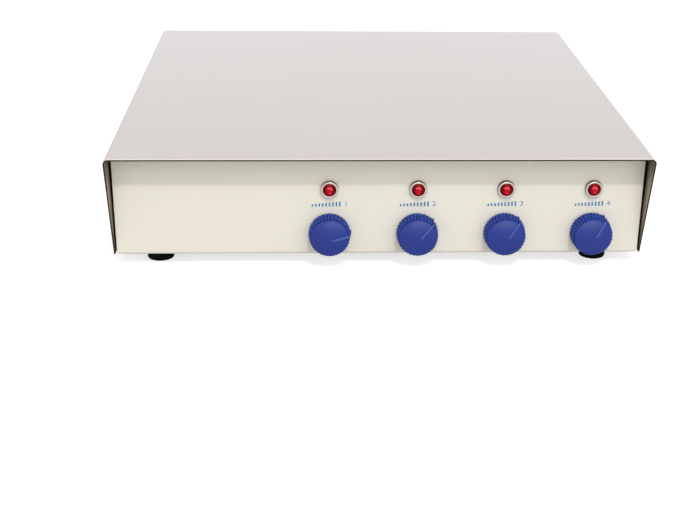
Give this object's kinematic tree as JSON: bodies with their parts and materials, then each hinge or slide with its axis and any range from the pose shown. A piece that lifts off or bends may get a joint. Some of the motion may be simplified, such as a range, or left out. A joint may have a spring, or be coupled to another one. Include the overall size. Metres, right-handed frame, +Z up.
{
  "type": "multi-position magnetic stirrer",
  "caption": "Low square bench stirrer with a stainless top over a cream chassis, blue fluted speed knobs and red lamps on a recessed front panel, and magnet rotors under the plate.",
  "frame": {"origin": "on the bench under the middle of the housing", "axes": "+Z up from the bench, front panel towards -Y, +X to the right as seen from the front"},
  "size_m": [0.4052, 0.4, 0.092],
  "materials": {
    "stainless": "satin rolled stainless sheet",
    "cream_paint": "smooth cream powder coat",
    "black_rubber": "matt",
    "zinc_steel": "zinc plated",
    "motor_steel": "plain rolled can",
    "shaft_steel": "ground",
    "aluminium": "mill finish",
    "ferrite": "sintered",
    "component_black": "moulded",
    "knob_blue": "moulded, semi-gloss",
    "bezel_chrome": "bright plated",
    "lens_red": "clear red",
    "black_plastic": "moulded",
    "contact_brass": "plain",
    "rocker_red": "moulded",
    "fuse_glass": "clear tube",
    "transformer_winding": "taped copper winding on an iron core",
    "board_green": "solder mask",
    "lead_insulation": "plain insulation"
  },
  "bodies": {
    "housing": {"top_cover": "stainless", "base_chassis": "cream_paint", "rubber_feet": "black_rubber", "foot_screws": "zinc_steel", "cover_screws": "zinc_steel", "motor_rail_front": "zinc_steel", "motor_rail_rear": "zinc_steel", "motor_screws": "zinc_steel", "panel_nuts": "zinc_steel", "power_inlet": "black_plastic", "inlet_pins": "contact_brass", "inlet_screws": "zinc_steel", "transformer_toroid": "transformer_winding", "transformer_pads": "black_rubber", "transformer_clamp": "zinc_steel", "control_board": "board_green", "board_components": "component_black", "heat_sink": "aluminium", "board_standoffs": "contact_brass", "m3_screws": "zinc_steel", "wiring_loom": "lead_insulation", "motor_1": "motor_steel", "potentiometer_1": "component_black", "lamp_bezel_1": "bezel_chrome", "lamp_lens_1": "lens_red", "motor_2": "motor_steel", "potentiometer_2": "component_black", "lamp_bezel_2": "bezel_chrome", "lamp_lens_2": "lens_red", "motor_3": "motor_steel", "potentiometer_3": "component_black", "lamp_bezel_3": "bezel_chrome", "lamp_lens_3": "lens_red", "motor_4": "motor_steel", "potentiometer_4": "component_black", "lamp_bezel_4": "bezel_chrome", "lamp_lens_4": "lens_red"},
    "speed_knob_1": {"knob_1": "knob_blue", "pot_shaft_1": "shaft_steel"},
    "magnet_rotor_1": {"motor_shaft_1": "shaft_steel", "magnet_arm_1": "aluminium", "magnets_1": "ferrite"},
    "speed_knob_2": {"knob_2": "knob_blue", "pot_shaft_2": "shaft_steel"},
    "magnet_rotor_2": {"motor_shaft_2": "shaft_steel", "magnet_arm_2": "aluminium", "magnets_2": "ferrite"},
    "speed_knob_3": {"knob_3": "knob_blue", "pot_shaft_3": "shaft_steel"},
    "magnet_rotor_3": {"motor_shaft_3": "shaft_steel", "magnet_arm_3": "aluminium", "magnets_3": "ferrite"},
    "speed_knob_4": {"knob_4": "knob_blue", "pot_shaft_4": "shaft_steel"},
    "magnet_rotor_4": {"motor_shaft_4": "shaft_steel", "magnet_arm_4": "aluminium", "magnets_4": "ferrite"},
    "power_rocker": {"rocker": "rocker_red"},
    "fuse_carrier": {"fuse_drawer": "black_plastic", "fuse": "fuse_glass"}
  },
  "joints": [
    {"name": "knob_1_turn", "type": "hinge", "parent": "housing", "child": "speed_knob_1", "pos_m": [-0.038, -0.1785, 0.0274], "axis": [0, 1, 0], "range_deg": [-228, 72]},
    {"name": "knob_2_turn", "type": "hinge", "parent": "housing", "child": "speed_knob_2", "pos_m": [0.028, -0.1785, 0.0274], "axis": [0, 1, 0], "range_deg": [-191, 109]},
    {"name": "knob_3_turn", "type": "hinge", "parent": "housing", "child": "speed_knob_3", "pos_m": [0.094, -0.1785, 0.0274], "axis": [0, 1, 0], "range_deg": [-184, 116]},
    {"name": "knob_4_turn", "type": "hinge", "parent": "housing", "child": "speed_knob_4", "pos_m": [0.16, -0.1785, 0.0274], "axis": [0, 1, 0], "range_deg": [-178, 122]},
    {"name": "rotor_1_spin", "type": "hinge", "parent": "housing", "child": "magnet_rotor_1", "pos_m": [-0.1, -0.1, 0.0605], "axis": [0, 0, 1], "continuous": true},
    {"name": "rotor_2_spin", "type": "hinge", "parent": "housing", "child": "magnet_rotor_2", "pos_m": [0.1, -0.1, 0.0605], "axis": [0, 0, 1], "continuous": true},
    {"name": "rotor_3_spin", "type": "hinge", "parent": "housing", "child": "magnet_rotor_3", "pos_m": [-0.1, 0.1, 0.0605], "axis": [0, 0, 1], "continuous": true},
    {"name": "rotor_4_spin", "type": "hinge", "parent": "housing", "child": "magnet_rotor_4", "pos_m": [0.1, 0.1, 0.0605], "axis": [0, 0, 1], "continuous": true},
    {"name": "rocker_tilt", "type": "hinge", "parent": "housing", "child": "power_rocker", "pos_m": [0.1, 0.1755, 0.065], "axis": [0, 0, 1], "range_deg": [0, 18]},
    {"name": "fuse_drawer_slide", "type": "slide", "parent": "housing", "child": "fuse_carrier", "axis": [0, 1, 0], "range_m": [0, 0.022]}
  ]
}
